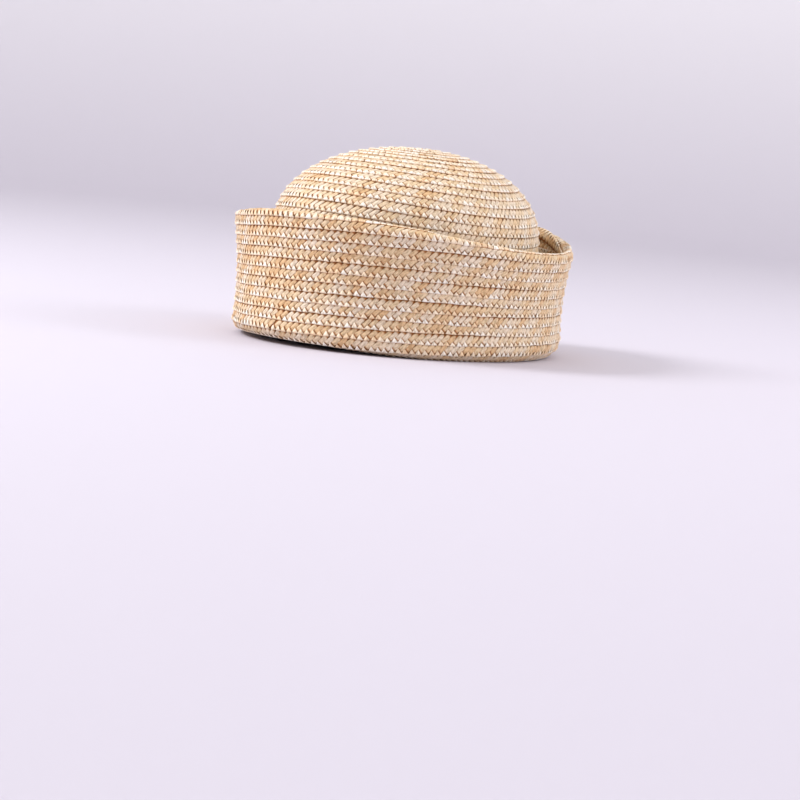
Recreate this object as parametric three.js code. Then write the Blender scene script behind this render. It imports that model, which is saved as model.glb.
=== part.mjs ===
// A straw sun hat in the sailor style: a round crown, and a brim that turns up all round into a deep cuff.
// The real hat is one straw braid sewn in a spiral, each row lapped over the next one down, so the outside of
// both pieces has a low step at every row. It stands on the fold of its brim, with the rest plane at Z 0 and its
// front towards -Y. Bearings turn from the front towards the wearer's left, +X.
import * as THREE from "three";

// Driving dimensions, in millimetres.
const headWidth = 163; // inside, at the band
const headLength = 199;
const crownHeight = 135; // over the top, from the rest plane
const bandHeight = 75; // where the dome springs from the side wall
const domeFullness = 2.14; // exponent of the dome's outline: 2 is an ellipse, more is squarer
const domeLean = 3; // how far the top of the dome stands behind the hat's middle
const wallSpread = 1.5; // how much wider the side wall is at its foot than at the band
const strawWall = 1.6; // thickness of one braid
const rowStep = 0.9; // how far a row's lower edge stands proud of the row below
const crownFoot = 11; // height of the crown's lower edge
const lap = 7; // how far the brim's first row goes up inside the crown
const sewnClearance = 0.3; // between the two pieces where they lap
const foldSpan = 21; // from the crown's side wall out to the cuff's, over the fold
const innerTurn = 6; // radius of the turn under the crown's foot, to the braid's middle
const outerTurn = 11; // radius of the turn up into the cuff, where it is roundest
const restLift = 4; // how far the fold rises off the rest plane at the front
const rimHeight = 90; // top of the cuff, where it is highest
const rimFlare = 8; // how far the cuff leans out, where it leans most
const cuffWaist = 2.3; // how far the cuff's wall draws in half way up
const lipRadius = 2.4; // turn of the rim over the cuff's top, to the braid's middle
const hemLength = 5; // what is turned in past the lip, where the cuff is highest

// Counts: braid rows, facets round the hat, and facets along each smooth stretch.
const crownRows = 27;
const cuffRows = 11;
const facetsRound = 48;
const facets = { turn: 3, lip: 4, liningDome: 8, liningWall: 2, liningCuff: 6 };

// The cuff all the way round, in shares of rimHeight, rimFlare, outerTurn and restLift. A negative lift is a
// stretch where the fold lies flat on the rest plane.
const cuffByBearing = [
  { bearing: 0, rim: 0.988, flare: 0.25, turn: 0.5, lift: 0.95 },
  { bearing: 45, rim: 0.939, flare: 0.6, turn: 0.5, lift: 0.1 },
  { bearing: 90, rim: 0.833, flare: 1.0, turn: 0.75, lift: -0.6 },
  { bearing: 135, rim: 0.846, flare: 0.45, turn: 1.0, lift: -0.1 },
  { bearing: 180, rim: 0.989, flare: 0.25, turn: 0.9, lift: 0.6 },
  { bearing: 225, rim: 0.919, flare: 0.45, turn: 0.9, lift: -0.1 },
  { bearing: 270, rim: 0.833, flare: 1.0, turn: 0.75, lift: -0.6 },
  { bearing: 315, rim: 0.897, flare: 0.6, turn: 0.5, lift: 0.5 },
];

// A column of cuffByBearing at an angle in radians, on a smooth closed curve through its evenly spaced rows.
function byBearing(column, angle) {
  const count = cuffByBearing.length;
  const spacing = THREE.MathUtils.degToRad(cuffByBearing[1].bearing - cuffByBearing[0].bearing);
  const row = Math.floor(angle / spacing);
  const t = angle / spacing - row;
  const [a, b, c, d] = [-1, 0, 1, 2].map((step) => cuffByBearing[(row + step + count) % count][column]);
  return b + 0.5 * t * (c - a + t * (2 * a - 5 * b + 4 * c - d + t * (3 * (b - c) + d - a)));
}

// Distance from the axis to the crown's outside at the band.
function bandRadius(angle) {
  const halfWidth = headWidth / 2 + strawWall;
  const halfLength = headLength / 2 + strawWall;
  return 1 / Math.hypot(Math.sin(angle) / halfWidth, Math.cos(angle) / halfLength);
}

// A quarter of a superellipse, from the top of the dome down to the band.
class DomeCurve extends THREE.Curve {
  constructor(radius, height) {
    super();
    this.radius = radius;
    this.height = height;
  }
  getPoint(t, target = new THREE.Vector2()) {
    const turn = (t * Math.PI) / 2;
    return target.set(
      this.radius * Math.pow(Math.sin(turn), 2 / domeFullness),
      bandHeight + this.height * Math.pow(Math.max(Math.cos(turn), 0), 2 / domeFullness),
    );
  }
}

// The crown's middle line in the upright plane of one bearing: distance from the axis, then height.
function crownLine(angle) {
  const middle = bandRadius(angle) - strawWall / 2;
  const band = new THREE.Vector2(middle, bandHeight);
  const foot = new THREE.Vector2(middle + wallSpread, crownFoot);
  const line = new THREE.CurvePath();
  line.add(new DomeCurve(middle, crownHeight - bandHeight - strawWall / 2));
  line.add(new THREE.LineCurve(band, foot));
  return line;
}

// The brim's middle line on one bearing, as the stretches that it is made of, from inside the crown to the hem.
function brimLines(angle) {
  const floor = strawWall / 2 + rowStep + restLift * Math.max(byBearing("lift", angle), 0);
  const turn = outerTurn * byBearing("turn", angle);
  const rim = rimHeight * byBearing("rim", angle);
  const flare = rimFlare * byBearing("flare", angle);
  const sewn = bandRadius(angle) + wallSpread - 1.5 * strawWall - sewnClearance;
  const base = bandRadius(angle) + wallSpread + foldSpan - strawWall / 2 - rowStep;
  const wallFoot = floor + turn;
  const wallTop = rim - strawWall / 2 - rowStep - lipRadius;
  const wallHeight = wallTop - wallFoot;
  const hem = hemLength + rimHeight - rim;
  const inLip = base + flare - 2 * lipRadius;

  const tuck = new THREE.LineCurve(
    new THREE.Vector2(sewn, crownFoot + lap),
    new THREE.Vector2(sewn, floor + innerTurn),
  );
  const under = new THREE.EllipseCurve(
    sewn + innerTurn, floor + innerTurn, innerTurn, innerTurn, Math.PI, 1.5 * Math.PI,
  );
  const fold = new THREE.EllipseCurve(base - turn, wallFoot, turn, turn, 1.5 * Math.PI, 2 * Math.PI);
  const wall = new THREE.QuadraticBezierCurve(
    new THREE.Vector2(base, wallFoot),
    new THREE.Vector2(base + flare / 2 - 2 * cuffWaist, wallFoot + wallHeight / 2),
    new THREE.Vector2(base + flare, wallTop),
  );
  const lip = new THREE.EllipseCurve(base + flare - lipRadius, wallTop, lipRadius, lipRadius, 0, Math.PI);
  const turnedIn = new THREE.LineCurve(
    new THREE.Vector2(inLip, wallTop),
    new THREE.Vector2(inLip - (flare * hem) / wallHeight, wallTop - hem),
  );
  return { tuck, under, fold, wall, lip, turnedIn };
}

// Places along a stretch, as shares of its length, with the skin's distance from the middle line running evenly
// from one value to the other.
function run(count, from, to) {
  return Array.from({ length: count + 1 }, (_, i) => ({ share: i / count, out: from + ((to - from) * i) / count }));
}

// The same for a stretch of braid rows, each running evenly from one value to the other.
function rows(count, from, to) {
  return Array.from({ length: count }, (_, i) => [
    { share: i / count, out: from },
    { share: (i + 1) / count, out: to },
  ]).flat();
}

// Points beside a line, to its left as it is followed where the distance is positive.
function beside(line, places) {
  return places.map(({ share, out }) => {
    const point = line.getPoint(share);
    const along = line.getTangent(share);
    return new THREE.Vector2(point.x - along.y * out, point.y + along.x * out);
  });
}

const flush = strawWall / 2;
const proud = strawWall / 2 + rowStep;

// The crown's section on one bearing: down the outside, and up the inside. It starts and ends on the axis.
function crownSection(angle) {
  const line = crownLine(angle);
  const outside = rows(crownRows, flush, proud).slice(1);
  const springing = line.curves[0].getLength() / line.getLength();
  const liningDome = run(facets.liningDome, -flush, -flush).slice(1);
  const liningWall = run(facets.liningWall, -flush, -flush).slice(1);
  const inside = [
    ...liningDome.map(({ share, out }) => ({ share: share * springing, out })),
    ...liningWall.map(({ share, out }) => ({ share: springing + share * (1 - springing), out })),
  ];
  const top = new THREE.Vector2(0, crownHeight);
  const underTop = new THREE.Vector2(0, crownHeight - strawWall);
  return [top, ...beside(line, outside), ...beside(line, inside.reverse()), underTop];
}

// The brim's section on one bearing: a closed outline, its lining side and then back along its braid rows.
function brimSection(angle) {
  const { tuck, under, fold, wall, lip, turnedIn } = brimLines(angle);
  const outside = [
    ...beside(tuck, [{ share: 0, out: -flush }]),
    ...beside(under, run(facets.turn, -flush, -proud)),
    ...beside(fold, run(facets.turn, -proud, -flush)),
    ...beside(wall, rows(cuffRows, -proud, -flush)),
    ...beside(lip, run(facets.lip, -proud, -flush)),
    ...beside(turnedIn, run(1, -proud, -flush)),
  ];
  const inside = [
    ...beside(tuck, [{ share: 0, out: flush }]),
    ...beside(under, run(facets.turn, flush, flush)),
    ...beside(fold, run(facets.turn, flush, flush)),
    ...beside(wall, run(facets.liningCuff, flush, flush).slice(1)),
    ...beside(lip, run(facets.lip, flush, flush).slice(1)),
    ...beside(turnedIn, [{ share: 1, out: flush }]),
  ];
  return [...inside, ...outside.reverse()];
}

// A closed body through one section for each bearing. Sections that are open start and end on the axis, where
// all of them share the first point and the last.
function loft(section, closed) {
  const sections = Array.from({ length: facetsRound }, (_, i) => section((2 * Math.PI * i) / facetsRound));
  const count = sections[0].length;
  const poles = closed ? [] : [sections[0][0], sections[0][count - 1]];
  const ring = closed ? count : count - 2;
  const positions = poles.flatMap(({ x, y }) => [x, 0, y]);
  sections.forEach((points, i) => {
    const angle = (2 * Math.PI * i) / facetsRound;
    const own = closed ? points : points.slice(1, -1);
    for (const { x, y } of own) positions.push(x * Math.sin(angle), -x * Math.cos(angle), y);
  });
  const vertex = (i, j) => {
    if (closed) return (i % facetsRound) * ring + (j % ring);
    if (j === 0) return 0;
    if (j === count - 1) return 1;
    return poles.length + (i % facetsRound) * ring + j - 1;
  };
  const index = [];
  for (let i = 0; i < facetsRound; i++) {
    for (let j = 0; j < (closed ? count : count - 1); j++) {
      const [a, b, c, d] = [vertex(i, j), vertex(i, j + 1), vertex(i + 1, j + 1), vertex(i + 1, j)];
      if (b !== c) index.push(a, b, c);
      if (a !== d) index.push(a, c, d);
    }
  }
  const geometry = new THREE.BufferGeometry();
  geometry.setAttribute("position", new THREE.Float32BufferAttribute(positions, 3));
  geometry.setIndex(index);
  geometry.computeVertexNormals();
  return geometry;
}

// The crown with its dome leaning towards the back, more and more from the band up.
function leant(geometry) {
  const position = geometry.getAttribute("position");
  for (let i = 0; i < position.count; i++) {
    const rise = Math.max(position.getZ(i) - bandHeight, 0) / (crownHeight - bandHeight);
    position.setY(i, position.getY(i) + domeLean * rise * rise);
  }
  geometry.computeVertexNormals();
  return geometry;
}

const straw = new THREE.MeshStandardMaterial({ color: 0xe6c492, roughness: 0.55, metalness: 0 });

function piece(name, geometry) {
  const mesh = new THREE.Mesh(geometry, straw.clone());
  mesh.name = name;
  return mesh;
}

const hat = new THREE.Group();
hat.add(piece("crown", leant(loft(crownSection, false))));
hat.add(piece("brim", loft(brimSection, true)));

export default hat;
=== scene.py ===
"""The looks of a plaited straw sun hat: its braid, splint by splint, and a plain studio round it."""

import math

import bpy
import numpy as np
from mathutils import Matrix, Vector


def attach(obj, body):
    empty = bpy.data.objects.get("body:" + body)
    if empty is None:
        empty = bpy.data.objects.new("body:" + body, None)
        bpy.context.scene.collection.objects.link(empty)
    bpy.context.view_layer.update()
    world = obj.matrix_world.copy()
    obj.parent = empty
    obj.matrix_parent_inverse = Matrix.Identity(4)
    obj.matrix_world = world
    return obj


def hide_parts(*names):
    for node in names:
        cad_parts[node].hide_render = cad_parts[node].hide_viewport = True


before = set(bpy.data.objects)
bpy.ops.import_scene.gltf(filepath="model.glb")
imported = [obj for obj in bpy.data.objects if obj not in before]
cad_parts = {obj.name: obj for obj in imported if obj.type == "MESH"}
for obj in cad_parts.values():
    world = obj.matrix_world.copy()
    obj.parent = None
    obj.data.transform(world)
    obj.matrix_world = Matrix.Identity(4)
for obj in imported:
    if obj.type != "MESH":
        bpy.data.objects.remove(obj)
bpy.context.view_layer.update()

# Sizes of the hat in metres, as in the CAD source. Bearings turn from the front, -Y, towards +X.
HEAD_WIDTH = 0.163
HEAD_LENGTH = 0.199
CROWN_HEIGHT = 0.135
BAND_HEIGHT = 0.075
DOME_FULLNESS = 2.14
DOME_LEAN = 0.003
WALL_SPREAD = 0.0015
STRAW_WALL = 0.0016
ROW_STEP = 0.0009
CROWN_FOOT = 0.011
LAP = 0.007
SEWN_CLEARANCE = 0.0003
FOLD_SPAN = 0.021
INNER_TURN = 0.006
OUTER_TURN = 0.011
REST_LIFT = 0.004
RIM_HEIGHT = 0.09
RIM_FLARE = 0.008
CUFF_WAIST = 0.0023
LIP_RADIUS = 0.0024
HEM_LENGTH = 0.005
CROWN_ROWS = 27

# The cuff at evenly spaced bearings, in shares of RIM_HEIGHT, RIM_FLARE, OUTER_TURN and REST_LIFT.
CUFF_COLUMNS = ("rim", "flare", "turn", "lift")
CUFF_BY_BEARING = (
    (0.988, 0.25, 0.5, 0.95),
    (0.939, 0.6, 0.5, 0.1),
    (0.833, 1.0, 0.75, -0.6),
    (0.846, 0.45, 1.0, -0.1),
    (0.989, 0.25, 0.9, 0.6),
    (0.919, 0.45, 0.9, -0.1),
    (0.833, 1.0, 0.75, -0.6),
    (0.897, 0.6, 0.5, 0.5),
)

# Points on each stretch of the crown's and the brim's middle lines.
DOME_POINTS = 160
SIDE_POINTS = 60
SEWN_POINTS = 20
TURN_POINTS = 24
FLOOR_POINTS = 16
WALL_POINTS = 120
HEM_POINTS = 30

# The grid of bearings and rows on which a surface of braid is worked out.
BEARINGS = 288
STATIONS = 420
SMALLEST_NORMAL = 1e-12

# Rows of braid. Rows of the brim are counted up the cuff from the lowest line that shows on it.
FIRST_LINE_HEIGHT = 0.0103
ROW_PITCH = 0.00655
PITCH_SWING = 0.0003  # how much wider the rows are where the cuff is highest, and narrower where lowest
PITCH_BEARING = math.radians(25)
BRIM_FIRST_ROW = -6.0
BRIM_LAST_ROW = 13.0
CROWN_FIRST_ROW = 0.05
DOME_ROWS = 17
SPARE_ROWS = 0.6  # of surface past the hem, for the splints' ends
SPARE_HEM = 0.004
SEAM_BEARING = math.radians(40)  # where the brim's spiral passes through whole rows
ROW_WANDER = 0.0002  # how far a row strays from its line
WANDER_WAVES = 7
SLOWEST_WAVE = 1.37  # swings a turn
TURN_SAMPLES = 144
SHORTEST_STEP = 1e-9
TIGHTEST_TURN = 0.009  # radius of the spiral's first turn, for laying splints round it
SHOWING = 0.3  # how far out or down the lining has to face to be seen

# Splints. A unit of the braid has a long one and a short one.
UNIT = 0.0044  # along the braid, from one splint to the next
SPLINT_SLANT = math.radians(43)
SPLINT_SINK = 0.0003  # into the braid's thickness
CORNERS = 4  # of the section of a splint, of the flat and of the coil

# A splint's section, from edge over the top to edge: shares of its half width, and how high and well lit.
SECTION_ACROSS = np.array([-1.0, -0.8, 0.8, 1.0])
SECTION_SHADE = np.array([0.0, 1.0, 1.0, 0.0])
EDGE_DROP = 0.00028
EDGE_SHADE = 0.25
DULLEST = 0.66  # how well lit the dullest splint is

# Long splints, which slant up the row: share of the length, height, half width, and how well lit, as painted
# shade, darkest where a splint goes under; and how well lit where the rows' ends are painted lighter.
LONG_COLUMNS = np.array([
    (0.0, -0.00036, 0.95, 0.0, 0.0),
    (0.13, -0.00010, 1.0, 0.45, 0.45),
    (0.26, 0.00014, 1.0, 1.0, 1.0),
    (0.68, 0.00028, 1.0, 1.0, 1.0),
    (0.79, 0.00008, 0.80, 0.35, 0.8),
    (1.0, -0.00034, 0.40, 0.0, 0.2),
])
LONG_HALF_WIDTH = 0.00162
LONG_START = 0.0012
LONG_END = 0.0009
LONG_SHIFT = UNIT * 0.1

# Short splints, which come over the row's edge and go under: distance across, lean along, half width, height
# and how well lit.
SHORT_COLUMNS = np.array([
    (-0.00035, 0.00020, 0.00225, -0.00080, 0.1),
    (-0.00012, 0.00020, 0.00232, -0.00010, 0.8),
    (0.00040, 0.00015, 0.00220, 0.00040, 1.0),
    (0.00110, 0.00000, 0.00158, 0.00050, 1.0),
    (0.00195, -0.00010, 0.00088, 0.00044, 1.0),
    (0.00285, -0.00025, 0.00020, 0.00024, 0.8),
])
COARSE_ROWS = [0, 2, 3, 5]  # of both tables, for the linings

# How much splints differ from one another.
WIDTH_SPREAD = 0.03
SLANT_SPREAD = 0.02
HEIGHT_SPREAD = 0.00004
SHORT_SPREAD = 0.06
SHIFT_SPREAD = 0.00015
TONE_SPREAD = 0.1

# The share of pale straws, and how far the painted shade at the rows' ends is lightened all round, 0 to 1.
# Towards the bearing below it is lightened more, and away from it less.
CUFF_LOOK = (0.45, 0.5)
DOME_LOOK = (0.9, 1.2)
LIGHTENED_BEARING = math.radians(132)

# How pale the straws are. They come up on slanting lines, and in short runs that are pale or tan.
STRAW_REPEAT = 4.8  # splints from one showing of a straw to its next
REPEAT_SHIFT = -0.26  # by how much of a repeat the pattern moves on from one row to the next one up
LONGEST_RUN = 4
PALE_RUN = (0.6, 1.0)
TAN_RUN = (0.0, 0.4)
WAVE_WEIGHT = 0.6
RUN_WEIGHT = 0.7
TONE_SHIFT = -0.12

# The flat of the braid under its splints: share of the row's width, distance beyond that, and height.
FLAT_SECTION = np.array([
    (0, 0.0003, -0.0003),
    (1, 0.0014, -0.0003),
    (1, 0.0014, -0.0012),
    (0, 0.0003, -0.0012),
])
# The flat's tone, and its painted shade, which makes it dark where it shows between the splints.
FLAT_TONE = 0.2
FLAT_SHADE = 0.25

# The coil at the top of the dome. Its section is in shares of its pitch, heights, and how well lit.
START_TURNS = 2.4
START_PITCH = 0.0034
START_DROP = 0.0006
START_OFFSET = 0.2  # of the pitch, from the middle to the coil's start
START_POINTS = 24  # a turn
START_TONE = 0.7
START_SECTION = np.array([
    (-0.55, -0.0016, 0.35),
    (-0.30, 0.0004, 1.0),
    (0.30, 0.0004, 1.0),
    (0.55, -0.0016, 0.35),
])

# The fibres of the straw: units of noise a metre, and how far apart two splints can start in it.
FIBRE_ALONG = 100
FIBRE_ACROSS = 1000
FIBRE_JUMP = 9
FIBRE_STRETCH = (3.2, 0.9, 1.0)
FIBRE_TONES = ((0.36, (0.68, 0.64, 0.58, 1)), (0.56, (1, 1, 1, 1)))

# The camera, in metres and radians. The photo's frame is square.
CAMERA_AZIMUTH = math.radians(42)
CAMERA_ELEVATION = math.radians(6.2)
CAMERA_ROLL = math.radians(5.4)
CAMERA_DISTANCE = 1.6
CAMERA_LENS = 0.1044
SENSOR = 0.036
FRAME_PIXELS = 800
HAT_PIXEL = (404.6, 257.5)  # where the point HAT_MIDDLE above the rest plane shows
HAT_MIDDLE = 0.06

# The studio.
FLOOR_RADIUS = 2.6
FLOOR_RINGS = 19
SWEEP = 1.4  # radius of the curve from the floor into the wall
SWEEP_STEPS = 12
WALL_TOP = 3.2
SEGMENTS = 96
# The wall's colour is painted lighter than the floor's, as painted light: the wall gets less light than the
# floor.
FLOOR_COLOUR = (0.632, 0.598, 0.672, 1)
WALL_COLOUR_WITH_PAINTED_LIGHT = (0.955, 0.935, 0.975, 1)
WALL_FADE = 0.5  # of the sweep's height, over which the floor's colour turns into the wall's
WORLD_COLOUR = (1.0, 0.99, 0.98, 1)
WORLD_STRENGTH = 0.94
# Lights: name, place, size, watts and colour.
LIGHTS = (
    ("key_light", (-1.08, -1.34, 1.4), 0.9, 34, (0.985, 0.985, 1.0)),
    ("fill_light", (1.49, 1.25, 1.0), 1.2, 16, (1.0, 0.99, 0.99)),
)
LIGHT_TARGET = (0, 0, 0.07)


def by_bearing(column, angle):
    """A column of CUFF_BY_BEARING at any angles, on a smooth closed curve through its rows."""
    values = np.array(CUFF_BY_BEARING)[:, CUFF_COLUMNS.index(column)]
    count = len(values)
    place = np.asarray(angle) / (2 * math.pi) * count
    row = np.floor(place).astype(int)
    t = place - row
    a, b, c, d = (values[(row + step) % count] for step in (-1, 0, 1, 2))
    return b + 0.5 * t * (c - a + t * (2 * a - 5 * b + 4 * c - d + t * (3 * (b - c) + d - a)))


def band_radius(angle):
    half_width = HEAD_WIDTH / 2 + STRAW_WALL
    half_length = HEAD_LENGTH / 2 + STRAW_WALL
    return 1 / np.hypot(np.sin(angle) / half_width, np.cos(angle) / half_length)


def arc(centre, radius, first, last):
    turn = np.linspace(first, last, TURN_POINTS)
    return np.stack([centre[0] + radius * np.cos(turn), centre[1] + radius * np.sin(turn)], 1)


def crown_line(angle):
    """The crown's middle line on one bearing, from the top down: distance from the axis, and height."""
    middle = band_radius(angle) - STRAW_WALL / 2
    turn = np.linspace(0, math.pi / 2, DOME_POINTS)
    radius = middle * np.sin(turn) ** (2 / DOME_FULLNESS)
    dome_height = CROWN_HEIGHT - BAND_HEIGHT - STRAW_WALL / 2
    rise = dome_height * np.maximum(np.cos(turn), 0) ** (2 / DOME_FULLNESS)
    dome = np.stack([radius, BAND_HEIGHT + rise], 1)
    side = np.linspace((middle, BAND_HEIGHT), (middle + WALL_SPREAD, CROWN_FOOT), SIDE_POINTS)
    return np.concatenate([dome, side[1:]])


def brim_line(angle):
    """The brim's middle line on one bearing, from inside the crown, under the fold and over the lip."""
    floor = STRAW_WALL / 2 + ROW_STEP + REST_LIFT * max(by_bearing("lift", angle), 0)
    turn = OUTER_TURN * by_bearing("turn", angle)
    rim = RIM_HEIGHT * by_bearing("rim", angle)
    flare = RIM_FLARE * by_bearing("flare", angle)
    sewn = band_radius(angle) + WALL_SPREAD - 1.5 * STRAW_WALL - SEWN_CLEARANCE
    base = band_radius(angle) + WALL_SPREAD + FOLD_SPAN - STRAW_WALL / 2 - ROW_STEP
    wall_foot = floor + turn
    wall_top = rim - STRAW_WALL / 2 - ROW_STEP - LIP_RADIUS
    wall_height = wall_top - wall_foot
    hem = HEM_LENGTH + RIM_HEIGHT - rim + SPARE_HEM
    in_lip = base + flare - 2 * LIP_RADIUS
    hem_end = (in_lip - flare * hem / wall_height, wall_top - hem)

    t = np.linspace(0, 1, WALL_POINTS)[:, None]
    ends = np.array([base, wall_foot]), np.array([base + flare, wall_top])
    pull = np.array([base + flare / 2 - 2 * CUFF_WAIST, wall_foot + wall_height / 2])
    wall = (1 - t) ** 2 * ends[0] + 2 * t * (1 - t) * pull + t**2 * ends[1]
    stretches = [
        np.linspace((sewn, CROWN_FOOT + LAP), (sewn, floor + INNER_TURN), SEWN_POINTS),
        arc((sewn + INNER_TURN, floor + INNER_TURN), INNER_TURN, math.pi, 1.5 * math.pi),
        np.linspace((sewn + INNER_TURN, floor), (base - turn, floor), FLOOR_POINTS),
        arc((base - turn, wall_foot), turn, 1.5 * math.pi, 2 * math.pi),
        wall,
        arc((base + flare - LIP_RADIUS, wall_top), LIP_RADIUS, 0, math.pi),
        np.linspace((in_lip, wall_top), hem_end, HEM_POINTS),
    ]
    return np.concatenate([stretches[0]] + [stretch[1:] for stretch in stretches[1:]])


def lengths_along(line):
    return np.concatenate([[0], np.cumsum(np.linalg.norm(np.diff(line, axis=0), axis=1))])


class Surface:
    """A middle surface of braid, by bearing and row, with its outward normals and the width of a row."""

    def __init__(self, line_at, rows_of, first_row, last_row, rows_go_up, lean=0):
        self.first_row, self.last_row = first_row, last_row
        self.up = 1 if rows_go_up else -1
        angles = np.arange(BEARINGS) * 2 * math.pi / BEARINGS
        rows = np.linspace(first_row, last_row, STATIONS)
        self.points = np.empty((BEARINGS, STATIONS, 3))
        self.widths = np.empty(BEARINGS)
        for i, angle in enumerate(angles):
            line = line_at(angle)
            row_of_point, self.widths[i] = rows_of(line, lengths_along(line), angle)
            radius = np.interp(rows, row_of_point, line[:, 0])
            height = np.interp(rows, row_of_point, line[:, 1])
            rise = np.maximum(height - BAND_HEIGHT, 0) / (CROWN_HEIGHT - BAND_HEIGHT)
            back = lean * rise**2 - radius * math.cos(angle)
            self.points[i] = np.stack([radius * math.sin(angle), back, height], 1)
        around = np.roll(self.points, -1, axis=0) - np.roll(self.points, 1, axis=0)
        along = np.gradient(self.points, axis=1)
        normals = np.cross(around, along) * self.up
        size = np.linalg.norm(normals, axis=2, keepdims=True)
        self.normals = normals / np.maximum(size, SMALLEST_NORMAL)
        self.normals[size[..., 0] < SMALLEST_NORMAL] = (0, 0, 1)

    def at(self, angle, row):
        """Points and outward normals at any angles and rows."""
        i = np.mod(angle, 2 * math.pi) / (2 * math.pi) * BEARINGS
        j = np.clip((row - self.first_row) / (self.last_row - self.first_row), 0, 1) * (STATIONS - 1)
        i0 = np.floor(i).astype(int)
        j0 = np.minimum(np.floor(j).astype(int), STATIONS - 2)
        u, v = (i - i0)[..., None], (j - j0)[..., None]
        i0, i1 = i0 % BEARINGS, (i0 + 1) % BEARINGS

        def blended(table):
            low = table[i0, j0] * (1 - u) + table[i1, j0] * u
            high = table[i0, j0 + 1] * (1 - u) + table[i1, j0 + 1] * u
            return low * (1 - v) + high * v

        normal = blended(self.normals)
        return blended(self.points), normal / np.linalg.norm(normal, axis=-1, keepdims=True)

    def width(self, angle):
        """The width of a row at any angles."""
        place = np.mod(angle, 2 * math.pi) / (2 * math.pi) * BEARINGS
        i = np.floor(place).astype(int) % BEARINGS
        t = place - np.floor(place)
        return self.widths[i] * (1 - t) + self.widths[(i + 1) % BEARINGS] * t


def crown_rows(_line, lengths, _angle):
    """Rows of the crown at each point of its line, evenly from the top down, and the width of one."""
    return lengths / lengths[-1] * CROWN_ROWS, lengths[-1] / CROWN_ROWS


def brim_rows(line, lengths, angle):
    """Rows of the brim at each point of its line, and the width of one.

    They count from the point where the outside of the fold passes FIRST_LINE_HEIGHT.
    """
    lowest = int(np.argmin(line[:, 1]))
    first = lowest + int(np.argmax(line[lowest:, 1] >= FIRST_LINE_HEIGHT))
    pitch = ROW_PITCH + PITCH_SWING * math.cos(2 * (angle - PITCH_BEARING))
    return (lengths - lengths[first]) / pitch, pitch


class Courses:
    """The turns of braid on one face of a surface. A place on them is a distance along and one across.

    Across is counted from the edge that shows, which is the lower one outside and the upper one inside.
    A look is the share of pale straws, and how far the painted shade at the rows' ends is lightened.
    """

    def __init__(self, surface, first_turn, last_turn, side, seed, look=CUFF_LOOK):
        self.surface, self.side = surface, side
        self.pale_share, self.end_lightening = look
        self.random = np.random.default_rng(seed)
        self.wander = self.random.normal(0, 1, (2, WANDER_WAVES))
        turns = np.linspace(first_turn, last_turn, int((last_turn - first_turn) * TURN_SAMPLES) + 1)
        self.samples = turns * 2 * math.pi
        middle, _ = surface.at(*self.place(self.samples, surface.width(self.samples) / 2))
        length = lengths_along(middle)
        count = int(length[-1] / UNIT)
        self.angle = np.interp((np.arange(count) + 0.5) * UNIT, length, self.samples)
        rate = np.gradient(self.samples) / np.maximum(np.gradient(length), SHORTEST_STEP)
        if side < 0 and surface.up > 0:
            self.angle = self.angle[self.seen_inside_the_brim()]
        self.rate = np.minimum(np.interp(self.angle, self.samples, rate), 1 / TIGHTEST_TURN)

    def seen_inside_the_brim(self):
        """Which splints of the lining lie on the cuff or the fold, and so not under the lip, hem or crown."""
        _, normal = self.surface.at(*self.place(self.angle, 0 * self.angle))
        outward = normal[:, 0] * np.sin(self.angle) - normal[:, 1] * np.cos(self.angle)
        return (outward > SHOWING) | (normal[:, 2] < -SHOWING)

    def place(self, angle, across):
        """The bearing and row of places on the braid."""
        surface = self.surface
        drift = 0
        for n, (a, b) in enumerate(self.wander.T):
            swing = angle * (n + SLOWEST_WAVE)
            drift = drift + ROW_WANDER / (n + 1) * (a * np.sin(swing) + b * np.cos(swing))
        shift = (across + drift) / surface.width(angle)
        if self.side < 0:
            shift = 1 - shift
        if surface.up > 0:
            return angle, (angle - SEAM_BEARING) / (2 * math.pi) + shift
        return angle, angle / (2 * math.pi) + 1 - shift

    def points(self, angle, across, height):
        """Points on the braid, none of them below the rest plane."""
        bearing, row = self.place(angle, across)
        point, normal = self.surface.at(bearing, row)
        lift = ROW_STEP * np.clip(1 - across / self.surface.width(bearing), 0, 1)
        point = point + normal * (self.side * (STRAW_WALL / 2 - SPLINT_SINK + lift + height))[..., None]
        point[..., 2] = np.maximum(point[..., 2], 0)
        return point


def mesh_object(name, vertices, quads, colours, uvs=None):
    mesh = bpy.data.meshes.new(name)
    mesh.vertices.add(len(vertices))
    mesh.vertices.foreach_set("co", np.ascontiguousarray(vertices, dtype=np.float32).ravel())
    mesh.loops.add(quads.size)
    mesh.loops.foreach_set("vertex_index", np.ascontiguousarray(quads, dtype=np.int32).ravel())
    mesh.polygons.add(len(quads))
    mesh.polygons.foreach_set("loop_start", np.arange(0, quads.size, CORNERS, dtype=np.int32))
    mesh.polygons.foreach_set("use_smooth", np.full(len(quads), True))
    mesh.update(calc_edges=True)
    attribute = mesh.attributes.new("straw", "FLOAT_COLOR", "POINT")
    attribute.data.foreach_set("color", np.ascontiguousarray(colours, dtype=np.float32).ravel())
    if uvs is not None:
        layer = mesh.uv_layers.new(name="along")
        layer.data.foreach_set("uv", np.ascontiguousarray(uvs[quads.ravel()], dtype=np.float32).ravel())
    mesh.validate(clean_customdata=False)
    obj = bpy.data.objects.new(name, mesh)
    bpy.context.scene.collection.objects.link(obj)
    return obj


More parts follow.
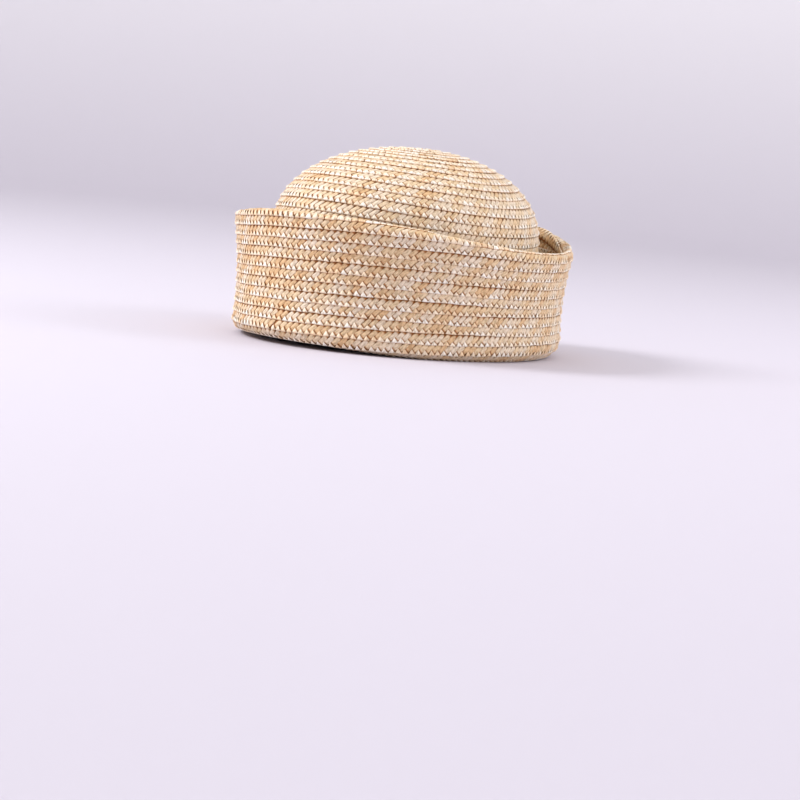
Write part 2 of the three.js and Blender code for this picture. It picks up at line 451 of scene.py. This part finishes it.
def tube_quads(sections):
    """Quads of one tube of so many sections, with a cap at each end.

    Each quad starts at the corner from which Blender's own diagonal follows the braid, not the curve across.
    """
    quads = []
    for i in range(sections - 1):
        here, there = i * CORNERS, (i + 1) * CORNERS
        for j in range(CORNERS):
            k = (j + 1) % CORNERS
            quads.append((here + k, there + k, there + j, here + j))
    quads.append((3, 2, 1, 0))
    end = (sections - 1) * CORNERS
    quads.append((end, end + 1, end + 2, end + 3))
    return np.array(quads)


def stacked(shape, *values):
    """Values, each spread over the whole shape, side by side on a last axis."""
    return np.stack([np.broadcast_to(value, shape) for value in values], -1)


def straw_tones(courses):
    """How pale each splint is: straws come up again and again, and run on until another is worked in."""
    count, random = len(courses.angle), courses.random
    place = np.arange(count)
    before = np.maximum(courses.angle - math.pi, courses.angle[0])
    after = np.minimum(courses.angle + math.pi, courses.angle[-1])
    counted = np.interp(after, courses.angle, place) - np.interp(before, courses.angle, place)
    per_turn = counted / (after - before) * 2 * math.pi
    repeats = np.cumsum((np.round(per_turn / STRAW_REPEAT) + REPEAT_SHIFT) / per_turn)
    wave = 0.5 + 0.5 * np.sin(2 * math.pi * repeats)
    runs = np.empty(count)
    i = 0
    while i < count:
        run = random.integers(1, LONGEST_RUN + 1)
        pale = random.random() < courses.pale_share
        runs[i : i + run] = random.uniform(*(PALE_RUN if pale else TAN_RUN))
        i += run
    return np.clip(WAVE_WEIGHT * wave + RUN_WEIGHT * runs + TONE_SHIFT, 0, 1)


def long_splints(courses, table):
    """Long splints by splint, section and corner: along, across, height, reach, side, and how well lit."""
    random, each = courses.random, (len(courses.angle), 1, 1)
    share, rise, half, lit, lit_lightened = table.T[:, None, :, None]
    # Painted shade at the long splints' ends is lighter towards the bearing set above and darker away from
    # it.
    end_lightening = np.clip(courses.end_lightening + np.cos(courses.angle - LIGHTENED_BEARING), 0, 1)[:, None, None]
    width = courses.surface.width(courses.angle)[:, None, None]
    reach = share * ((width + LONG_END - LONG_START) / math.sin(SPLINT_SLANT))
    half = half * LONG_HALF_WIDTH * (1 + random.normal(0, WIDTH_SPREAD, each))
    side = SECTION_ACROSS * half
    slant = SPLINT_SLANT + random.normal(0, SLANT_SPREAD, each)
    along = reach * np.cos(slant) - side * np.sin(slant) + LONG_SHIFT
    across = LONG_START + reach * np.sin(slant) + side * np.cos(slant)
    height = rise + random.normal(0, HEIGHT_SPREAD, each) - EDGE_DROP * (1 - SECTION_SHADE)
    return along, across, height, reach, side, lit + (lit_lightened - lit) * end_lightening


def short_splints(courses, table):
    """Short splints by splint, section and corner: along, across, height, reach, side, and how well lit."""
    random, each = courses.random, (len(courses.angle), 1, 1)
    reach, lean, half, rise, lit = table.T[:, None, :, None]
    half = half * (1 + random.normal(0, SHORT_SPREAD, each))
    side = SECTION_ACROSS * half
    along = lean + side + random.normal(0, SHIFT_SPREAD, each)
    across = reach * (1 + random.normal(0, SHORT_SPREAD, each))
    height = rise + random.normal(0, HEIGHT_SPREAD, each) - EDGE_DROP * (1 - SECTION_SHADE)
    return along, across, height, reach, side, lit


def splint_mesh(name, courses, fine=True):
    """All the splints of some courses of braid, as one mesh of small closed strips."""
    count, random = len(courses.angle), courses.random
    each = (count, 1, 1)
    tone = straw_tones(courses)
    parts = []
    offset = 0
    for is_short, splints, table in ((0, long_splints, LONG_COLUMNS), (1, short_splints, SHORT_COLUMNS)):
        along, across, height, reach, side, lit = splints(courses, table if fine else table[COARSE_ROWS])
        angle = courses.angle[:, None, None] + along * courses.rate[:, None, None]
        shape = angle.shape
        points = courses.points(angle, np.broadcast_to(across, shape), np.broadcast_to(height, shape))
        tones = np.clip(tone + random.normal(0, TONE_SPREAD, count), 0, 1)[:, None, None]
        section_shade = EDGE_SHADE + (1 - EDGE_SHADE) * SECTION_SHADE
        shade = lit * section_shade * random.uniform(DULLEST, 1, each)
        colours = stacked(shape, tones, shade, is_short, 1)
        uvs = stacked(shape, reach * FIBRE_ALONG + random.uniform(0, FIBRE_JUMP, each), side * FIBRE_ACROSS)
        corners_each = shape[1] * CORNERS
        quads = tube_quads(shape[1]) + np.arange(count)[:, None, None] * corners_each + offset
        parts.append([values.reshape(-1, values.shape[-1]) for values in (points, quads, colours, uvs)])
        offset += count * corners_each
    vertices, quads, colours, uvs = (np.concatenate(values) for values in zip(*parts))
    if courses.side * courses.surface.up < 0:
        quads = quads[:, ::-1]
    return mesh_object(name, vertices, quads, colours, uvs)


def lamina(name, courses):
    """The flat of the braid under its splints, as one long closed ribbon."""
    angle = courses.samples[::2, None]
    share, beyond, height = FLAT_SECTION.T
    across = share * courses.surface.width(angle) + beyond
    shape = across.shape
    points = courses.points(np.broadcast_to(angle, shape), across, np.broadcast_to(height, shape))
    colours = stacked(shape, FLAT_TONE, FLAT_SHADE, 0, 1)
    quads = tube_quads(len(angle))
    if courses.surface.up > 0:
        quads = quads[:, ::-1]
    return mesh_object(name, points.reshape(-1, 3), quads, colours.reshape(-1, 4))


def spiral_start(name):
    """The tight coil at the top of the dome, where the crown's spiral starts."""
    turn = np.linspace(0, START_TURNS * 2 * math.pi, int(START_TURNS * START_POINTS))[:, None]
    share, height, shade = START_SECTION.T
    radius = START_PITCH * (turn / (2 * math.pi) + START_OFFSET + share)
    x = radius * np.cos(turn)
    y = radius * np.sin(turn) + DOME_LEAN
    z = CROWN_HEIGHT + height - START_DROP * (radius / START_PITCH / START_TURNS) ** 2
    vertices = np.stack([x, y, z], -1).reshape(-1, 3)
    colours = stacked(x.shape, START_TONE, shade, 1, 1)
    return mesh_object(name, vertices, tube_quads(len(turn)), colours.reshape(-1, 4))


def nodes_of(material):
    material.use_nodes = True
    tree = material.node_tree
    tree.nodes.clear()
    output = tree.nodes.new("ShaderNodeOutputMaterial")
    shader = tree.nodes.new("ShaderNodeBsdfPrincipled")
    tree.links.new(shader.outputs["BSDF"], output.inputs["Surface"])
    return tree, shader


def linear(red, green, blue):
    """An sRGB colour, 0 to 255, as linear RGBA."""
    values = (red / 255, green / 255, blue / 255)
    return tuple(v / 12.92 if v <= 0.04045 else ((v + 0.055) / 1.055) ** 2.4 for v in values) + (1.0,)


# Straw colours, from tan to pale: of the long splints, of the short ones, and the painted shade of creases.
LONG_TONES = ((0.0, linear(227, 187, 138)), (0.45, linear(234, 206, 164)), (1.0, linear(240, 222, 197)))
SHORT_TONES = ((0.0, linear(246, 215, 174)), (0.5, linear(254, 236, 208)), (1.0, linear(255, 248, 235)))
PAINTED_SHADE_TONES = ((0.0, linear(108, 67, 24)), (0.3, linear(202, 152, 92)), (0.62, linear(255, 255, 255)))


def straw_material():
    """Glossy wheat straw: tan or pale by the splint, with painted shade, brown, in its creases, and fine
    fibres along it.
    """
    material = bpy.data.materials.new("wheat_straw")
    tree, shader = nodes_of(material)
    new, link = tree.nodes.new, tree.links.new

    def ramp(factor, stops):
        node = new("ShaderNodeValToRGB")
        elements = node.color_ramp.elements
        while len(elements) < len(stops):
            elements.new(0.5)
        for element, (place, colour) in zip(elements, stops):
            element.position = place
            element.color = colour
        link(factor, node.inputs["Fac"])
        return node.outputs["Color"]

    def mix(first, second, blend_type):
        node = new("ShaderNodeMix")
        node.data_type = "RGBA"
        node.blend_type = blend_type
        node.inputs["Factor"].default_value = 1.0
        link(first, node.inputs["A"])
        link(second, node.inputs["B"])
        return node

    splint = new("ShaderNodeAttribute")
    splint.attribute_name = "straw"
    parts = new("ShaderNodeSeparateColor")
    link(splint.outputs["Color"], parts.inputs["Color"])
    tone, shade, short = parts.outputs["Red"], parts.outputs["Green"], parts.outputs["Blue"]
    body = mix(ramp(tone, LONG_TONES), ramp(tone, SHORT_TONES), "MIX")
    link(short, body.inputs["Factor"])

    place = new("ShaderNodeUVMap")
    place.uv_map = "along"
    stretch = new("ShaderNodeMapping")
    stretch.inputs["Scale"].default_value = FIBRE_STRETCH
    link(place.outputs["UV"], stretch.inputs["Vector"])
    fibres = new("ShaderNodeTexNoise")
    fibres.inputs["Scale"].default_value = 1.0
    fibres.inputs["Detail"].default_value = 3.0
    link(stretch.outputs["Vector"], fibres.inputs["Vector"])

    streaked = mix(body.outputs["Result"], ramp(fibres.outputs["Fac"], FIBRE_TONES), "MULTIPLY")
    # The shade attribute is painted shade: it darkens splints' edges and ends, and the flat, towards brown.
    painted_shade = mix(streaked.outputs["Result"], ramp(shade, PAINTED_SHADE_TONES), "MULTIPLY")
    link(painted_shade.outputs["Result"], shader.inputs["Base Color"])

    bump = new("ShaderNodeBump")
    bump.inputs["Strength"].default_value = 0.5
    bump.inputs["Distance"].default_value = 0.0002
    link(fibres.outputs["Fac"], bump.inputs["Height"])
    link(bump.outputs["Normal"], shader.inputs["Normal"])
    shader.inputs["Roughness"].default_value = 0.42
    shader.inputs["Specular IOR Level"].default_value = 0.5
    return material


def paper_material():
    material = bpy.data.materials.new("studio_paper")
    tree, shader = nodes_of(material)
    paper = tree.nodes.new("ShaderNodeAttribute")
    paper.attribute_name = "paper"
    tree.links.new(paper.outputs["Color"], shader.inputs["Base Color"])
    shader.inputs["Roughness"].default_value = 0.9
    shader.inputs["Specular IOR Level"].default_value = 0.2
    return material


def paper_colours(vertices):
    """The paper's colour at each of its vertices, from the floor's to the painted lighter wall's by height.
    """
    height = np.array(vertices)[:, 2]
    share = np.clip(height / (SWEEP * WALL_FADE), 0, 1)[:, None]
    return np.array(FLOOR_COLOUR) * (1 - share) + np.array(WALL_COLOUR_WITH_PAINTED_LIGHT) * share


def studio_floor():
    """A pale round floor whose edge curves up into a wall."""
    profile = [(r, 0.0) for r in np.linspace(0, FLOOR_RADIUS, FLOOR_RINGS)]
    for turn in np.linspace(0, math.pi / 2, SWEEP_STEPS + 1)[1:]:
        profile.append((FLOOR_RADIUS + SWEEP * math.sin(turn), SWEEP * (1 - math.cos(turn))))
    profile.append((FLOOR_RADIUS + SWEEP, WALL_TOP))
    vertices = [
        (r * math.cos(2 * math.pi * i / SEGMENTS), r * math.sin(2 * math.pi * i / SEGMENTS), z)
        for i in range(SEGMENTS)
        for r, z in profile[1:]
    ]
    ring = len(profile) - 1
    vertices.append((0.0, 0.0, 0.0))
    faces = []
    for i in range(SEGMENTS):
        k = (i + 1) % SEGMENTS
        faces.append((len(vertices) - 1, i * ring, k * ring))
        for j in range(ring - 1):
            faces.append((i * ring + j, i * ring + j + 1, k * ring + j + 1, k * ring + j))
    mesh = bpy.data.meshes.new("studio_floor")
    mesh.from_pydata(vertices, [], faces)
    for polygon in mesh.polygons:
        polygon.use_smooth = True
    paper = mesh.attributes.new("paper", "FLOAT_COLOR", "POINT")
    paper.data.foreach_set("color", paper_colours(vertices).astype(np.float32).ravel())
    mesh.materials.append(paper_material())
    floor = bpy.data.objects.new("studio_floor", mesh)
    bpy.context.scene.collection.objects.link(floor)


def looking(place, target):
    return Matrix.Translation(place) @ (target - place).to_track_quat("-Z", "Y").to_matrix().to_4x4()


def studio_light():
    """Soft lights from the photo's left and from behind on its right, and pale air all round."""
    for name, place, size, power, colour in LIGHTS:
        data = bpy.data.lights.new(name, "AREA")
        data.shape = "DISK"
        data.size = size
        data.energy = power
        data.color = colour
        light = bpy.data.objects.new(name, data)
        light.matrix_world = looking(Vector(place), Vector(LIGHT_TARGET))
        bpy.context.scene.collection.objects.link(light)

    world = bpy.data.worlds.new("studio_air")
    bpy.context.scene.world = world
    world.use_nodes = True
    world.node_tree.nodes["Background"].inputs["Color"].default_value = WORLD_COLOUR
    world.node_tree.nodes["Background"].inputs["Strength"].default_value = WORLD_STRENGTH
    bpy.context.scene.view_settings.view_transform = "Standard"


def photo_camera():
    """The photo's view: the hat stands above the middle of the frame, and is turned a little clockwise."""
    level_back = Vector((math.sin(CAMERA_AZIMUTH), -math.cos(CAMERA_AZIMUTH), 0))
    back = math.cos(CAMERA_ELEVATION) * level_back + math.sin(CAMERA_ELEVATION) * Vector((0, 0, 1))
    level = Vector((math.cos(CAMERA_AZIMUTH), math.sin(CAMERA_AZIMUTH), 0))
    upright = back.cross(level)
    right = math.cos(CAMERA_ROLL) * level + math.sin(CAMERA_ROLL) * upright
    up = math.cos(CAMERA_ROLL) * upright - math.sin(CAMERA_ROLL) * level
    metres_per_pixel = CAMERA_DISTANCE / (CAMERA_LENS / SENSOR * FRAME_PIXELS)
    across = (HAT_PIXEL[0] - FRAME_PIXELS / 2) * metres_per_pixel
    above = (FRAME_PIXELS / 2 - HAT_PIXEL[1]) * metres_per_pixel
    place = Vector((0, 0, HAT_MIDDLE)) + back * CAMERA_DISTANCE - right * across - up * above
    data = bpy.data.cameras.new("photo_camera")
    data.sensor_width = SENSOR * 1000
    data.lens = CAMERA_LENS * 1000
    camera = bpy.data.objects.new("photo_camera", data)
    rotation = Matrix((right, up, back)).transposed().to_4x4()
    camera.matrix_world = Matrix.Translation(place) @ rotation
    bpy.context.scene.collection.objects.link(camera)
    bpy.context.scene.camera = camera


def dress(node, piece):
    """Makes a piece of straw that stands for a node of the CAD."""
    piece.data.materials.append(straw)
    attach(piece, "root")
    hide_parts(node)


photo_camera()
studio_floor()
studio_light()

crown = Surface(crown_line, crown_rows, 0, CROWN_ROWS, rows_go_up=False, lean=DOME_LEAN)
brim = Surface(brim_line, brim_rows, BRIM_FIRST_ROW, BRIM_LAST_ROW + SPARE_ROWS, rows_go_up=True)
straw = straw_material()

OUTSIDE, INSIDE = 1, -1
CROWN_TURNS = (CROWN_FIRST_ROW, CROWN_ROWS - 1)
BRIM_TURNS = (BRIM_FIRST_ROW, BRIM_LAST_ROW - 1)
dress("crown", splint_mesh("dome_braid", Courses(crown, CROWN_FIRST_ROW, DOME_ROWS, OUTSIDE, 1, DOME_LOOK)))
dress("crown", splint_mesh("side_braid", Courses(crown, DOME_ROWS, CROWN_ROWS - 1, OUTSIDE, 2, DOME_LOOK)))
dress("crown", splint_mesh("crown_lining_braid", Courses(crown, *CROWN_TURNS, INSIDE, 3), fine=False))
dress("brim", splint_mesh("fold_braid", Courses(brim, BRIM_FIRST_ROW, 0, OUTSIDE, 4)))
dress("brim", splint_mesh("cuff_braid", Courses(brim, 0, BRIM_LAST_ROW - 1, OUTSIDE, 5)))
dress("brim", splint_mesh("cuff_lining_braid", Courses(brim, *BRIM_TURNS, INSIDE, 6), fine=False))
dress("crown", spiral_start("crown_start_braid"))
dress("crown", lamina("crown_braid_flat", Courses(crown, *CROWN_TURNS, OUTSIDE, 7)))
dress("brim", lamina("brim_braid_flat", Courses(brim, *BRIM_TURNS, OUTSIDE, 8)))
